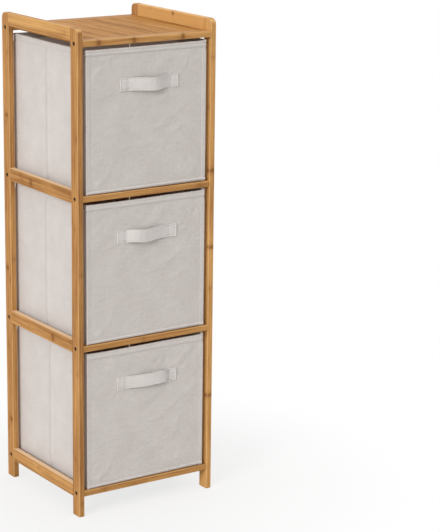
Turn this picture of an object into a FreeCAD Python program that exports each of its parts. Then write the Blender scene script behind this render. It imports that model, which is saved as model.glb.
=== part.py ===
"""A free-standing bamboo storage shelf that holds fabric baskets, one above the other.

Two ladder-like sides, each of two posts, side rails and a raised top board, are joined by a
cross rail at the front and the back of each level, screwed on through the posts. Slats between
the top cross rails make the top. Each basket stands on the two cross rails of its level and
pulls out towards the front.

Row frame: +X to the right, the front faces -Y, +Z up, origin on the floor under the middle of
the whole part, from the bow of the straps to the back posts.
"""

import FreeCAD, Part
import math
import os

doc = FreeCAD.newDocument("storage_shelf")

# Driving sizes, in millimetres, and two counts.
SIZES = [
    ("frame_width", 316, "outside of the left posts to the outside of the right posts"),
    ("frame_depth", 297, "front of the front posts to the back of the back posts"),
    ("basket_count", 3, "baskets, one above the other"),
    ("level_pitch", 300, "height from one level to the next"),
    ("foot_clearance", 42, "floor to the underside of the lowest cross rails"),
    ("post_thickness", 12, "post, across the shelf"),
    ("post_width", 26, "post, front to back"),
    ("cross_rail_thickness", 12, "height of a cross rail"),
    ("cross_rail_width", 26, "cross rail, front to back"),
    ("side_rail_height", 26, "height of a side rail or a top board"),
    ("arris_radius", 1.5, "eased long edges of the frame"),
    ("top_corner_radius", 12, "rounded outer corner at the top of a post"),
    ("side_rail_drop", 4, "underside of a side rail below that of its cross rails"),
    ("top_board_lift", 10, "underside of a top board above that of the top cross rails"),
    ("slat_count", 8, "slats of the top"),
    ("slat_thickness", 8, "slat of the top"),
    ("slat_gap", 0.3, "joint between two slats"),
    ("slat_arris", 0.8, "eased long edges of a slat"),
    ("tongue_length", 6, "tongue at each end of a slat"),
    ("tongue_thickness", 3, "height of that tongue"),
    ("glue_gap", 0.1, "round a tongue, a dowel or a screw in its hole"),
    ("dowel_diameter", 6, "dowel between a side rail and a post"),
    ("dowel_in_post", 8, "depth of a dowel in a post"),
    ("dowel_in_rail", 16, "depth of a dowel in a side rail"),
    ("dowel_spacing", 13, "the two dowels of a joint, centre to centre"),
    ("screw_diameter", 5, "frame screw"),
    ("screw_length", 45, "frame screw under its head"),
    ("screw_head_diameter", 8, "head of a frame screw"),
    ("screw_head_height", 4, "head of a frame screw"),
    ("screw_head_depth", 1, "top of the head below the face of the post"),
    ("head_gap", 0.4, "between the head and its counterbore"),
    ("socket_width", 4, "hexagon socket in the head, across the flats"),
    ("socket_depth", 2.5, "hexagon socket in the head"),
    ("basket_side_gap", 9, "side of a basket to the posts and side rails beside it"),
    ("basket_setback", 3, "front of the posts to the front of a basket"),
    ("basket_back_gap", 12, "back of a basket to the back of the posts"),
    ("basket_headroom", 7.7, "rim of a basket to the cross rails above it"),
    ("basket_corner_radius", 6, "upright corners of a basket"),
    ("rest_gap", 0.3, "below a basket, and below the loose board in it"),
    ("fabric_thickness", 1.2, "outer fabric"),
    ("lining_thickness", 0.8, "lining"),
    ("board_thickness", 2, "stiffening board in a wall"),
    ("layer_gap", 0.2, "between two layers"),
    ("fold_gap", 3, "between the two boards of a side wall"),
    ("tape_width", 12, "how far the rim tape reaches down the wall"),
    ("tape_thickness", 0.6, "rim tape"),
    ("insert_thickness", 4, "loose board in the bottom of a basket"),
    ("insert_gap", 1.5, "round the loose board, measured from the rim tape"),
    ("strap_width", 26, "height of the handle strap"),
    ("strap_thickness", 1.6, "handle strap"),
    ("strap_span", 138, "end to end of the strap, across the front of a basket"),
    ("strap_patch", 22, "stitched length at each end of the strap"),
    ("strap_bow", 12, "clear space behind the middle of the strap"),
    ("strap_drop", 71, "top of the rim to the middle line of the strap"),
]
sheet = doc.addObject("Spreadsheet::Sheet", "Sizes")
for row, (alias, number, meaning) in enumerate(SIZES, start=1):
    sheet.set(f"A{row}", meaning)
    sheet.set(f"B{row}", str(number))
    sheet.setAlias(f"B{row}", alias)
doc.recompute()

# Heights and places that follow from the driving sizes, as expressions. Level 0 is the lowest.
TOP_LEVEL = int(sheet.basket_count)
LEVELS = range(TOP_LEVEL + 1)
ENDS = ("front", "back")
SIDES = ("left", "right")
INNER_WIDTH = "(Sizes.frame_width - 2 * Sizes.post_thickness)"
POSTS_APART = "(Sizes.frame_depth - 2 * Sizes.post_width)"
RAILS_APART = "(Sizes.frame_depth - 2 * Sizes.cross_rail_width)"
STRAP_REACH = "(Sizes.layer_gap + Sizes.strap_bow + Sizes.strap_thickness)"
FRAME_FRONT = f"(({STRAP_REACH} - Sizes.basket_setback - Sizes.frame_depth) / 2)"
BETWEEN_POSTS = f"({FRAME_FRONT} + Sizes.post_width)"
POST_X = {"left": "(-Sizes.frame_width / 2)", "right": f"({INNER_WIDTH} / 2)"}
POST_Y = {"front": FRAME_FRONT, "back": f"({BETWEEN_POSTS} + {POSTS_APART})"}
RAIL_Y = {
    "front": FRAME_FRONT,
    "back": f"({FRAME_FRONT} + Sizes.frame_depth - Sizes.cross_rail_width)",
}


def underside(level):
    """Underside of the cross rails at a level."""
    return f"(Sizes.foot_clearance + {level} * Sizes.level_pitch)"


def side_underside(level):
    """Underside of the side rails at a level, or of the top boards at the top level."""
    if level == TOP_LEVEL:
        return f"({underside(level)} + Sizes.top_board_lift)"
    return f"({underside(level)} - Sizes.side_rail_drop)"


TOP_OF_RAILS = f"({underside(TOP_LEVEL)} + Sizes.cross_rail_thickness)"
POST_HEIGHT = f"({side_underside(TOP_LEVEL)} + Sizes.side_rail_height)"
SCREW_RISE = "(Sizes.cross_rail_thickness / 2)"
SCREW_Y = "(Sizes.cross_rail_width / 2)"
HEAD_SEAT = "(Sizes.screw_head_depth + Sizes.screw_head_height)"
HEAD_HOLE = "(Sizes.screw_head_diameter / 2 + Sizes.head_gap)"
SCREW_HOLE = "(Sizes.screw_diameter / 2 + Sizes.glue_gap)"
SCREW_BITE = f"({HEAD_SEAT} + Sizes.screw_length - Sizes.post_thickness + Sizes.glue_gap)"
DOWEL_HOLE = "(Sizes.dowel_diameter / 2 + Sizes.glue_gap)"
DOWEL_RISES = [
    "(Sizes.side_rail_height / 2 - Sizes.dowel_spacing / 2)",
    "(Sizes.side_rail_height / 2 + Sizes.dowel_spacing / 2)",
]

BASKET_WIDTH = f"({INNER_WIDTH} - 2 * Sizes.basket_side_gap)"
BASKET_DEPTH = "(Sizes.frame_depth - Sizes.basket_setback - Sizes.basket_back_gap)"
BASKET_LIFT = "(Sizes.cross_rail_thickness + Sizes.rest_gap)"
BASKET_HEIGHT = f"(Sizes.level_pitch - {BASKET_LIFT} - Sizes.basket_headroom)"

TINY = 1e-6
X_AXIS = FreeCAD.Vector(1, 0, 0)
Y_AXIS = FreeCAD.Vector(0, 1, 0)
Z_AXIS = FreeCAD.Vector(0, 0, 1)
TO_RIGHT = FreeCAD.Rotation(Z_AXIS, X_AXIS)
TO_LEFT = FreeCAD.Rotation(Z_AXIS, -X_AXIS)
TO_BACK = FreeCAD.Rotation(Z_AXIS, Y_AXIS)
TO_FRONT = FreeCAD.Rotation(Z_AXIS, -Y_AXIS)
INWARDS = {"left": TO_RIGHT, "right": TO_LEFT}
NODES = []


def node(thing, name):
    """Gives a sub-part its name."""
    thing.Label = name
    NODES.append(thing)
    return thing


def size(expression):
    """What an expression on the sheet comes to, in millimetres."""
    return float(sheet.evalExpression(expression))


def put(thing, x="0", y="0", z="0"):
    """Places an object."""
    thing.setExpression("Placement.Base.x", x)
    thing.setExpression("Placement.Base.y", y)
    thing.setExpression("Placement.Base.z", z)
    return thing


def block(thing, length, width, height):
    """Sizes a box along X, Y and Z."""
    thing.setExpression("Length", length)
    thing.setExpression("Width", width)
    thing.setExpression("Height", height)
    return thing


def timber(name, length, width, height):
    """A body that starts as a box with a corner at its origin."""
    body = doc.addObject("PartDesign::Body", name)
    block(body.newObject("PartDesign::AdditiveBox", "Timber"), length, width, height)
    return body


def ease(body, radius, chosen):
    """Rounds the edges of a body for which chosen(edge) holds."""
    doc.recompute()
    last = body.Tip
    edges = [f"Edge{i}" for i, edge in enumerate(last.Shape.Edges, start=1) if chosen(edge)]
    eased = body.newObject("PartDesign::Fillet", "Eased")
    eased.Base = (last, edges)
    eased.setExpression("Radius", radius)


def bore(body, name, radius, depth, x, y, z, direction):
    """Drills a round hole into a body."""
    hole = body.newObject("PartDesign::SubtractiveCylinder", name)
    hole.setExpression("Radius", radius)
    hole.setExpression("Height", depth)
    hole.Placement.Rotation = direction
    put(hole, x, y, z)


def along_x(edge):
    return edge.BoundBox.YLength < TINY and edge.BoundBox.ZLength < TINY


def along_y(edge):
    return edge.BoundBox.XLength < TINY and edge.BoundBox.ZLength < TINY


def along_z(edge):
    return edge.BoundBox.XLength < TINY and edge.BoundBox.YLength < TINY


# Posts. The outer top corner is rounded and the edges are eased. At each level a counterbored
# hole for the screw goes through, and two dowel holes go into the edge that faces the rails.
def make_post(end, side):
    body = timber("Post", "Sizes.post_thickness", "Sizes.post_width", POST_HEIGHT)
    width = size("Sizes.post_width")
    top = size(POST_HEIGHT)
    outer_y = 0 if end == "front" else width

    def at(value, place):
        return abs(value - place) < TINY

    def outer_top_corner(edge):
        box = edge.BoundBox
        return along_x(edge) and at(box.YMax, outer_y) and at(box.ZMax, top)

    def sharp(edge):
        box = edge.BoundBox
        at_side = at(box.YMax, 0) or at(box.YMin, width)
        at_end = at(box.ZMax, 0) or at(box.ZMin, top)
        return box.XLength < TINY or (at_side and at_end)

    ease(body, "Sizes.top_corner_radius", outer_top_corner)
    ease(body, "Sizes.arris_radius", sharp)
    face_x = "0" if side == "left" else "Sizes.post_thickness"
    screw_y = SCREW_Y if end == "front" else f"Sizes.post_width - {SCREW_Y}"
    dowel_y = "Sizes.post_width" if end == "front" else "0"
    to_outside = TO_FRONT if end == "front" else TO_BACK
    middle = "Sizes.post_thickness / 2"
    for level in LEVELS:
        screw_z = f"{underside(level)} + {SCREW_RISE}"
        inwards = INWARDS[side]
        bore(body, "HeadHole", HEAD_HOLE, HEAD_SEAT, face_x, screw_y, screw_z, inwards)
        through = "Sizes.post_thickness"
        bore(body, "ScrewHole", SCREW_HOLE, through, face_x, screw_y, screw_z, inwards)
        for rise in DOWEL_RISES:
            dowel_z = f"{side_underside(level)} + {rise}"
            depth = "Sizes.dowel_in_post + Sizes.glue_gap"
            bore(body, "DowelHole", DOWEL_HOLE, depth, middle, dowel_y, dowel_z, to_outside)
    put(body, POST_X[side], POST_Y[end])
    node(body, f"post_{end}_{side}")


# Side rails between the posts, in their plane, and the raised boards at the top: the same
# timber on edge, with two dowel holes in each end.
def make_side_rail(side, level):
    body = timber("SideRail", "Sizes.post_thickness", POSTS_APART, "Sizes.side_rail_height")
    ease(body, "Sizes.arris_radius", along_y)
    depth = "Sizes.dowel_in_rail + Sizes.glue_gap"
    middle = "Sizes.post_thickness / 2"
    for rise in DOWEL_RISES:
        bore(body, "FrontHole", DOWEL_HOLE, depth, middle, "0", rise, TO_BACK)
        bore(body, "BackHole", DOWEL_HOLE, depth, middle, POSTS_APART, rise, TO_FRONT)
    put(body, POST_X[side], BETWEEN_POSTS, side_underside(level))
    is_top = level == TOP_LEVEL
    node(body, f"top_board_{side}" if is_top else f"side_rail_{side}_{TOP_LEVEL - level}")


# Cross rails lie flat between the posts, with a screw hole in each end. The two at the top are
# grooved for the tongues of the slats. They are numbered from the top.
TONGUE_DROP = "((Sizes.slat_thickness + Sizes.tongue_thickness) / 2)"


def make_cross_rail(end, level):
    body = timber(
        "CrossRail", INNER_WIDTH, "Sizes.cross_rail_width", "Sizes.cross_rail_thickness"
    )
    ease(body, "Sizes.arris_radius", along_x)
    hole_y = SCREW_Y
    bore(body, "LeftHole", SCREW_HOLE, SCREW_BITE, "0", hole_y, SCREW_RISE, TO_RIGHT)
    bore(body, "RightHole", SCREW_HOLE, SCREW_BITE, INNER_WIDTH, hole_y, SCREW_RISE, TO_LEFT)
    if level == TOP_LEVEL:
        groove = body.newObject("PartDesign::SubtractiveBox", "Groove")
        depth = "(Sizes.tongue_length + Sizes.glue_gap)"
        height = "Sizes.tongue_thickness + 2 * Sizes.glue_gap"
        block(groove, INNER_WIDTH, depth, height)
        groove_y = f"Sizes.cross_rail_width - {depth}" if end == "front" else "0"
        groove_z = f"Sizes.cross_rail_thickness - {TONGUE_DROP} - Sizes.glue_gap"
        put(groove, "0", groove_y, groove_z)
    put(body, f"-{INNER_WIDTH} / 2", RAIL_Y[end], underside(level))
    node(body, f"cross_rail_{end}_{TOP_LEVEL - level + 1}")


# Slats of the top, from left to right, level with the top of the cross rails.
def make_slat(number):
    pitch = f"({INNER_WIDTH} / Sizes.slat_count)"
    width = f"({pitch} - Sizes.slat_gap)"
    body = timber("Slat", width, RAILS_APART, "Sizes.slat_thickness")
    ease(body, "Sizes.slat_arris", along_y)
    tongues = body.newObject("PartDesign::AdditiveBox", "Tongues")
    inset = "Sizes.slat_arris"
    length = f"{RAILS_APART} + 2 * Sizes.tongue_length"
    block(tongues, f"{width} - 2 * {inset}", length, "Sizes.tongue_thickness")
    put(tongues, inset, "-Sizes.tongue_length", f"Sizes.slat_thickness - {TONGUE_DROP}")
    left = f"(Sizes.slat_gap / 2 + {number - 1} * {pitch} - {INNER_WIDTH} / 2)"
    put(
        body,
        left,
        f"{FRAME_FRONT} + Sizes.cross_rail_width",
        f"{TOP_OF_RAILS} - Sizes.slat_thickness",
    )
    node(body, f"top_slat_{number}")


# Fasteners. One of each is made, and its copies are one node.
def scatter(original, places, name):
    """A node with a copy of a piece at each of several placements."""
    doc.recompute()
    copies = []
    for place in places:
        copy = original.Shape.copy()
        copy.Placement = place
        copies.append(copy)
    group = doc.addObject("Part::Feature", "Group")
    group.Shape = Part.makeCompound(copies)
    node(group, name)


def make_screws():
    """Screws lie along X, the underside of the head at their origin."""
    screw = doc.addObject("PartDesign::Body", "Screw")
    head = screw.newObject("PartDesign::AdditiveCylinder", "Head")
    head.setExpression("Radius", "Sizes.screw_head_diameter / 2")
    head.setExpression("Height", "Sizes.screw_head_height")
    head.Placement.Rotation = TO_LEFT
    shank = screw.newObject("PartDesign::AdditiveCylinder", "Shank")
    shank.setExpression("Radius", "Sizes.screw_diameter / 2")
    shank.setExpression("Height", "Sizes.screw_length")
    shank.Placement.Rotation = TO_RIGHT
    socket = screw.newObject("PartDesign::SubtractivePrism", "Socket")
    socket.Polygon = 6
    socket.setExpression("Circumradius", "Sizes.socket_width / 3 ^ 0.5")
    socket.setExpression("Height", "Sizes.socket_depth")
    socket.Placement.Rotation = TO_RIGHT
    put(socket, "-Sizes.screw_head_height")
    seat = size(f"Sizes.frame_width / 2 - {HEAD_SEAT}")
    places = []
    for level in LEVELS:
        z = size(f"{underside(level)} + {SCREW_RISE}")
        for end in ENDS:
            y = size(f"{RAIL_Y[end]} + {SCREW_Y}")
            for x, turn in ((-seat, 0), (seat, 180)):
                rotation = FreeCAD.Rotation(Z_AXIS, turn)
                places.append(FreeCAD.Placement(FreeCAD.Vector(x, y, z), rotation))
    scatter(screw, places, "frame_screws")


def make_dowels():
    """Dowels lie along Y, their end in the post at their origin."""
    dowel = doc.addObject("PartDesign::Body", "Dowel")
    pin = dowel.newObject("PartDesign::AdditiveCylinder", "Pin")
    pin.setExpression("Radius", "Sizes.dowel_diameter / 2")
    pin.setExpression("Height", "Sizes.dowel_in_post + Sizes.dowel_in_rail")
    pin.Placement.Rotation = TO_BACK
    in_post = size("Sizes.dowel_in_post")
    ends = (
        (size(BETWEEN_POSTS) - in_post, 0),
        (size(f"{BETWEEN_POSTS} + {POSTS_APART}") + in_post, 180),
    )
    places = []
    for level in LEVELS:
        for rise in DOWEL_RISES:
            z = size(f"{side_underside(level)} + {rise}")
            for side in SIDES:
                x = size(f"{POST_X[side]} + Sizes.post_thickness / 2")
                for y, turn in ends:
                    rotation = FreeCAD.Rotation(Z_AXIS, turn)
                    places.append(FreeCAD.Placement(FreeCAD.Vector(x, y, z), rotation))
    scatter(dowel, places, "side_dowels")


# Baskets, numbered from the top. Their pieces are made about the bottom of the middle of the
# front face. Insets are distances in from the outside of the fabric.
BASKET_Y = f"({FRAME_FRONT} + Sizes.basket_setback)"
BOARD_INSET = "(Sizes.fabric_thickness + Sizes.layer_gap)"
LINING_INSET = f"({BOARD_INSET} + Sizes.board_thickness + Sizes.layer_gap)"
WALL = f"({LINING_INSET} + Sizes.lining_thickness)"
TAPE_PROUD = "(Sizes.layer_gap + Sizes.tape_thickness)"
WALL_TOP = f"({BASKET_HEIGHT} - {TAPE_PROUD})"
LINING_BOTTOM = "(Sizes.fabric_thickness + Sizes.layer_gap)"
INSERT_BOTTOM = f"({LINING_BOTTOM} + Sizes.lining_thickness + Sizes.rest_gap)"


def basket_z(number):
    """Underside of a basket, just above its cross rails."""
    return f"({underside(TOP_LEVEL - number)} + {BASKET_LIFT})"


def put_basket(thing, number, x="0", y="0", z="0"):
    """Places a piece of a basket, given where it lies in the basket."""
    return put(thing, x, f"{BASKET_Y} + {y}", f"{basket_z(number)} + {z}")


def rounded_block(inset, height):
    """A block with upright rounded corners, centred across the basket."""
    width = f"({BASKET_WIDTH} - 2 * {inset})"
    depth = f"({BASKET_DEPTH} - 2 * {inset})"
    body = timber("Block", width, depth, height)
    put(body.Tip, f"-{width} / 2", inset)
    ease(body, f"Sizes.basket_corner_radius - {inset}", along_z)
    return body


def hollow(body, wall, open_below):
    """Opens a rounded block at the top, and below too if wanted, leaving a wall."""
    doc.recompute()
    last = body.Tip
    top = last.Shape.BoundBox.ZMax

    def is_open(face):
        box = face.BoundBox
        return box.ZLength < TINY and (box.ZMax > top - TINY or open_below)

    faces = [f"Face{i}" for i, face in enumerate(last.Shape.Faces, start=1) if is_open(face)]
    shell = body.newObject("PartDesign::Thickness", "Shell")
    shell.Base = (last, faces)
    shell.Reversed = True
    shell.setExpression("Value", wall)
    return body


def make_fabric(number):
    """The outer fabric, a box that is open at the top."""
    fabric = hollow(rounded_block("0", WALL_TOP), "Sizes.fabric_thickness", False)
    node(put_basket(fabric, number), f"basket_{number}_fabric")


def make_lining(number):
    height = f"({WALL_TOP} - {LINING_BOTTOM})"
    lining = hollow(rounded_block(LINING_INSET, height), "Sizes.lining_thickness", False)
    put_basket(lining, number, z=LINING_BOTTOM)
    node(lining, f"basket_{number}_lining")


def make_rim_tape(number):
    """A tape folded over the top of the wall, with a leg on each face of it."""
    thickness = f"({WALL} + 2 * {TAPE_PROUD})"
    ring = hollow(rounded_block(f"(-{TAPE_PROUD})", "Sizes.tape_width"), thickness, True)
    channel_height = "(Sizes.tape_width - Sizes.tape_thickness)"
    channel = hollow(
        rounded_block("(-Sizes.layer_gap)", channel_height),
        f"({WALL} + 2 * Sizes.layer_gap)",
        True,
    )
    tape = doc.addObject("Part::Cut", "RimTape")
    tape.Base = ring
    tape.Tool = channel
    put_basket(tape, number, z=f"{BASKET_HEIGHT} - Sizes.tape_width")
    node(tape, f"basket_{number}_rim_tape")


# Boards stand between the outer fabric and the lining, clear of the rounded corners.
BOARD_HEIGHT = f"({WALL_TOP} - {LINING_BOTTOM} - Sizes.layer_gap)"


def make_end_board(number, end):
    board = doc.addObject("Part::Box", "Board")
    length = f"({BASKET_WIDTH} - 2 * Sizes.basket_corner_radius)"
    block(board, length, "Sizes.board_thickness", BOARD_HEIGHT)
    back_y = f"({BASKET_DEPTH} - {BOARD_INSET} - Sizes.board_thickness)"
    y = BOARD_INSET if end == "front" else back_y
    put_basket(board, number, f"-{length} / 2", y, LINING_BOTTOM)
    node(board, f"basket_{number}_board_{end}")


def make_side_boards(number, side):
    """Two boards, because a side wall folds inwards half way."""
    corner = "Sizes.basket_corner_radius"
    length = f"(({BASKET_DEPTH} - 2 * {corner} - Sizes.fold_gap) / 2)"
    right_x = f"({BASKET_WIDTH} / 2 - {BOARD_INSET} - Sizes.board_thickness)"
    x = right_x if side == "right" else f"(-{right_x} - Sizes.board_thickness)"
    boards = []
    for y in (corner, f"({corner} + {length} + Sizes.fold_gap)"):
        board = doc.addObject("Part::Box", "Board")
        block(board, "Sizes.board_thickness", length, BOARD_HEIGHT)
        boards.append(put(board, x, y))
    pair = doc.addObject("Part::Compound", "SideBoards")
    pair.Links = boards
    put_basket(pair, number, z=LINING_BOTTOM)
    node(pair, f"basket_{number}_boards_{side}")


def make_insert(number):
    """The loose board on the lining, small enough to pass the rim tape."""
    inset = f"({WALL} + {TAPE_PROUD} + Sizes.insert_gap)"
    insert = doc.addObject("Part::Box", "Insert")
    width = f"({BASKET_WIDTH} - 2 * {inset})"
    depth = f"({BASKET_DEPTH} - 2 * {inset})"
    block(insert, width, depth, "Sizes.insert_thickness")
    put_basket(insert, number, f"-{width} / 2", inset, INSERT_BOTTOM)
    node(insert, f"basket_{number}_base_insert")


def strap_face(distance):
    """The outline of one face of the strap, seen from above, from left to right.

    From each stitched end the strap leaves the basket in an arc that curves away from it and
    meets an arc of the same radius that curves back, over the middle. The middle line of the
    strap has these arcs; a face lies a distance off it, away from the basket if positive.
    """
    end = size("Sizes.strap_span / 2")
    reach = size("Sizes.strap_span / 2 - Sizes.strap_patch")
    bow = size("Sizes.strap_bow")
    rest = -size("Sizes.layer_gap + Sizes.strap_thickness / 2")
    radius = (reach**2 + bow**2) / (4 * bow)
    turn = math.asin(reach / (2 * radius))
    foot = radius - distance
    crown = radius + distance
    foot_middle = FreeCAD.Vector(-reach, rest - radius, 0)
    crown_middle = FreeCAD.Vector(0, rest - bow + radius, 0)

    def on_foot(angle):
        return foot_middle + FreeCAD.Vector(math.sin(angle), math.cos(angle), 0) * foot

    def on_crown(angle):
        return crown_middle - FreeCAD.Vector(math.sin(angle), math.cos(angle), 0) * crown

    def mirrored(point):
        return FreeCAD.Vector(-point.x, point.y, point.z)

    start = FreeCAD.Vector(-end, rest - distance, 0)
    lift = on_foot(0)
    bend = on_crown(turn)
    return [
        Part.makeLine(start, lift),
        Part.Arc(lift, on_foot(turn / 2), bend).toShape(),
        Part.Arc(bend, on_crown(0), mirrored(bend)).toShape(),
        Part.Arc(mirrored(bend), mirrored(on_foot(turn / 2)), mirrored(lift)).toShape(),
        Part.makeLine(mirrored(lift), mirrored(start)),
    ]


def make_strap(number):
    half = size("Sizes.strap_thickness / 2")
    outer = strap_face(half)
    inner = strap_face(-half)
    caps = [
        Part.makeLine(inner[0].firstVertex().Point, outer[0].firstVertex().Point),
        Part.makeLine(inner[-1].lastVertex().Point, outer[-1].lastVertex().Point),
    ]
    outline = Part.Wire(Part.__sortEdges__(outer + inner + caps))
    strap = doc.addObject("Part::Feature", "Strap")
    strap.Shape = Part.Face(outline).extrude(Z_AXIS * size("Sizes.strap_width"))
    bottom = f"({BASKET_HEIGHT} - Sizes.strap_drop - Sizes.strap_width / 2)"
    put_basket(strap, number, z=bottom)
    node(strap, f"basket_{number}_strap")


for side in SIDES:
    for end in ENDS:
        make_post(end, side)
    for level in LEVELS:
        make_side_rail(side, level)
for level in LEVELS:
    for end in ENDS:
        make_cross_rail(end, level)
for number in range(1, int(sheet.slat_count) + 1):
    make_slat(number)
make_screws()
make_dowels()
for number in range(1, TOP_LEVEL + 1):
    make_fabric(number)
    make_lining(number)
    make_rim_tape(number)
    for end in ENDS:
        make_end_board(number, end)
    for side in SIDES:
        make_side_boards(number, side)
    make_insert(number)
    make_strap(number)

doc.recompute()
for thing in doc.Objects:
    if "Invalid" in thing.State or "Error" in thing.State:
        raise RuntimeError(f"{thing.Label} failed: {thing.State}")
for thing in NODES:
    if thing.Shape.isNull() or not thing.Shape.isValid():
        raise RuntimeError(f"{thing.Label} has no valid shape")

os.makedirs("parts", exist_ok=True)
for thing in NODES:
    thing.Shape.exportStep(os.path.join("parts", f"{thing.Label}.step"))
print(f"{len(NODES)} nodes written")
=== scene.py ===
# %% [markdown]
# # A bamboo storage shelf with three fabric baskets
#
# The shelf is a tall, narrow frame of thin bamboo timber. Four posts carry
# three pairs of side rails and four pairs of cross rails, and a slatted top
# lies between two raised boards. A fabric basket slides into each level.
#
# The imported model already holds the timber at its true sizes, so this scene
# keeps those pieces and gives them better finishes. Cloth is another matter:
# a solid with flat faces can't show a hem or a crease, so every soft piece is
# modelled again here, in the place that its solid holds.

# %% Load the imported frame
import math
import random

import bpy
import numpy as np
from mathutils import Matrix, Vector


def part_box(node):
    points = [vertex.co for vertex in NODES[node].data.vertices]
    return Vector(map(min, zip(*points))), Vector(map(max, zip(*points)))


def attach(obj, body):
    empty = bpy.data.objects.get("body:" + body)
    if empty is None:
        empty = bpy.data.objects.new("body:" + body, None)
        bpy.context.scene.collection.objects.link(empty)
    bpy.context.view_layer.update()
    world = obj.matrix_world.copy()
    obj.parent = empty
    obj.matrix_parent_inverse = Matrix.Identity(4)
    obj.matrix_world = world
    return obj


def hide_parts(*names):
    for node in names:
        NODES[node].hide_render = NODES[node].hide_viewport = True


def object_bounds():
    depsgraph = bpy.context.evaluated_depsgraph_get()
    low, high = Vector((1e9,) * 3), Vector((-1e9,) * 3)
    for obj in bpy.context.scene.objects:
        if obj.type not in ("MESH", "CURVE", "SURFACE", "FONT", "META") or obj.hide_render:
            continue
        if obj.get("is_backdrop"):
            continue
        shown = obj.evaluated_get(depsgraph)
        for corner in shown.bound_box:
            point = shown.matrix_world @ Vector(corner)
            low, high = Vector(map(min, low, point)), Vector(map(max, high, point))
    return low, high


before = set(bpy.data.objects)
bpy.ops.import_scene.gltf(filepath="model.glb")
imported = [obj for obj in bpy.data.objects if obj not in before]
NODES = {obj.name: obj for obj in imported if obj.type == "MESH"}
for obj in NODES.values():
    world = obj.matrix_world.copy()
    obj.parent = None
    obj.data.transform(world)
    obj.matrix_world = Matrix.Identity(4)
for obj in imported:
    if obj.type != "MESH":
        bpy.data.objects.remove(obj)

CAD_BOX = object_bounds()
print("nodes", len(NODES), "box", [round(x, 4) for x in (*CAD_BOX[0], *CAD_BOX[1])])

# %% [markdown]
# ## The camera
#
# A picture of furniture is taken from a little above, with a long lens that
# keeps the uprights nearly parallel. The camera's place was worked out from
# where the posts and rails stand in the picture. It could be aimed with a
# Track To constraint, but a constraint always holds the horizon level, and
# this view leans by under a degree. So the three axes are written out.

# %% Camera
EYE = (-2.05117, -3.38114, 1.48322)
RIGHT = Vector((0.82591, -0.56366, 0.01268))
UP = Vector((0.13006, 0.21236, 0.9685))
LENS_MM, SENSOR_MM = 135.34, 36.0

camera = bpy.data.objects.new("camera", bpy.data.cameras.new("camera"))
bpy.context.scene.collection.objects.link(camera)
camera.data.lens, camera.data.sensor_width = LENS_MM, SENSOR_MM
camera.data.clip_start, camera.data.clip_end = 0.05, 60.0
axes = Matrix((RIGHT, UP, RIGHT.cross(UP))).transposed()
camera.matrix_world = Matrix.Translation(EYE) @ axes.to_4x4()
bpy.context.scene.camera = camera
print("camera", round(Vector(EYE).length, 2), "m from the shelf")

# %% [markdown]
# ## Sums of shader sockets
#
# A shader graph is a sum written with boxes. One small class holds a socket
# and knows what + - * / mean for it, so the sums below read like sums. Each
# one adds a Math node behind the scenes. A second class holds a material and
# has one method that makes any other node.

# %% Socket and Finish
class Socket:
    """One output of a node, used in sums as a number is."""

    def __init__(self, finish, link):
        self.finish, self.link = finish, link

    def math(self, operation, *others):
        sockets = dict(enumerate((self, *others)))
        return self.finish.node("Math", {"operation": operation}, sockets)

    def __add__(self, other):
        return self.math("ADD", other)

    def __sub__(self, other):
        return self.math("SUBTRACT", other)

    def __rsub__(self, other):
        return self.finish.node("Math", {"operation": "SUBTRACT"}, {0: other, 1: self})

    def __mul__(self, other):
        return self.math("MULTIPLY", other)

    def __truediv__(self, other):
        return self.math("DIVIDE", other)

    def __abs__(self):
        return self.math("ABSOLUTE")

    __radd__, __rmul__ = __add__, __mul__

    def step(self, low, high):
        """0 below low, 1 above high and smooth between them."""
        sockets = {"Value": self, "From Min": low, "From Max": high}
        return self.finish.node("MapRange", {"interpolation_type": "SMOOTHSTEP"}, sockets)


class Finish:
    """A material, its nodes and its main shader."""

    def __init__(self, name, **constants):
        self.material = bpy.data.materials.new(name)
        self.material.use_nodes = True
        self.tree = self.material.node_tree
        self.shader = self.tree.nodes["Principled BSDF"]
        for socket, value in constants.items():
            self.shader.inputs[socket.replace("_", " ")].default_value = value

    def node(self, kind, settings=None, sockets=None, out=0):
        """A new node with its settings, and a value or a link for each socket."""
        made = self.tree.nodes.new("ShaderNode" + kind)
        for key, value in (settings or {}).items():
            if key == "stops":
                ramp = made.color_ramp.elements
                while len(ramp) < len(value):
                    ramp.new(0.5)
                for stop, (place, colour) in zip(ramp, value):
                    stop.position, stop.color = place, colour
            else:
                setattr(made, key, value)
        for key, value in (sockets or {}).items():
            if isinstance(value, Socket):
                self.tree.links.new(value.link, made.inputs[key])
            else:
                made.inputs[key].default_value = value
        return Socket(self, made.outputs[out])

    def feed(self, **sockets):
        for name, value in sockets.items():
            self.tree.links.new(value.link, self.shader.inputs[name.replace("_", " ")])

    def mix(self, share, first, second):
        """Two colours mixed. Inputs 6 and 7 and output 2 are the node's colour ones."""
        return self.node("Mix", {"data_type": "RGBA"}, {0: share, 6: first, 7: second}, out=2)

    def noise(self, vector, scale, detail=2.0, roughness=0.5):
        sockets = {"Vector": vector, "Scale": scale, "Detail": detail, "Roughness": roughness}
        return self.node("TexNoise", None, sockets)

    def bump(self, height, strength, distance):
        sockets = {"Height": height, "Strength": strength, "Distance": distance}
        return self.node("Bump", None, sockets)

    def place(self):
        """Where a point of the surface is, in metres."""
        return self.node("TexCoord", out=3)

    def facing(self):
        """Which way the surface faces there."""
        return self.node("TexCoord", out=1)

    def vector(self, x, y, z=0.0):
        return self.node("CombineXYZ", None, {0: x, 1: y, 2: z})

    def axes(self, vector):
        """A vector's X, Y and Z."""
        split = self.node("SeparateXYZ", None, {0: vector}).link.node
        return [Socket(self, split.outputs[i]) for i in range(3)]


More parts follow.
